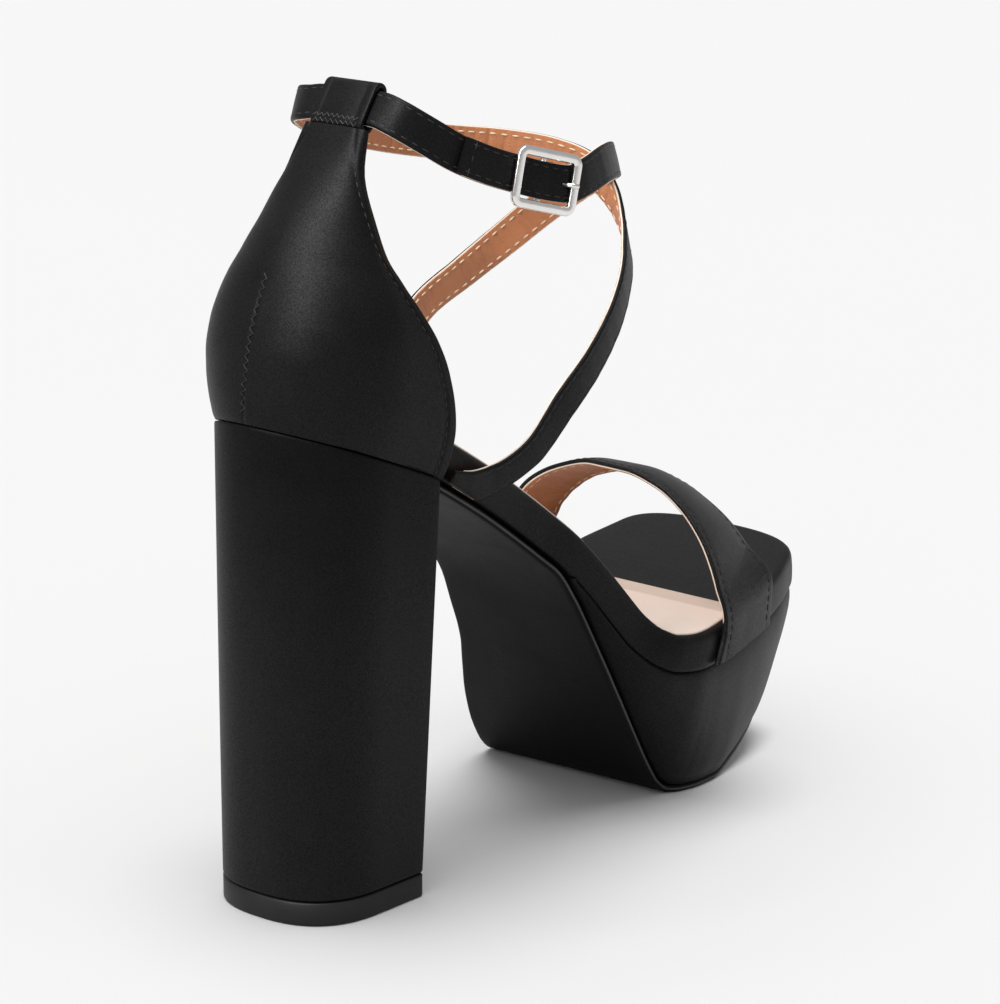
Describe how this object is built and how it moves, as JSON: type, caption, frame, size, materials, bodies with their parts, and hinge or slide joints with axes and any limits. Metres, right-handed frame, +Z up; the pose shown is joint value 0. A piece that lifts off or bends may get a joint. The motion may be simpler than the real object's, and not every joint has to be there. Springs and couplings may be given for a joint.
{
  "type": "platform shoe",
  "caption": "Right black satin platform sandal with a tall block heel, closed heel cup, wide toe strap and crossed ankle straps with a silver buckle.",
  "frame": {"origin": "centre of the heel lift's underside, on the floor", "axes": "+Z up, +Y towards the toe, +X towards the outer side of the right foot"},
  "size_m": [0.0864, 0.2198, 0.2089],
  "materials": {
    "satin": "satin",
    "sock_leather": "satin",
    "rubber_sole": "matte",
    "rubber_lift": "matte",
    "polished_metal": "polished"
  },
  "bodies": {
    "root": {"outsole": "rubber_sole", "platform": "satin", "footbed": "satin", "insole_sock": "sock_leather", "heel": "satin", "top_lift": "rubber_lift", "heel_counter": "satin", "toe_strap": "satin", "ankle_straps": "satin", "buckle_frame": "polished_metal", "buckle_prong": "polished_metal"}
  },
  "joints": []
}
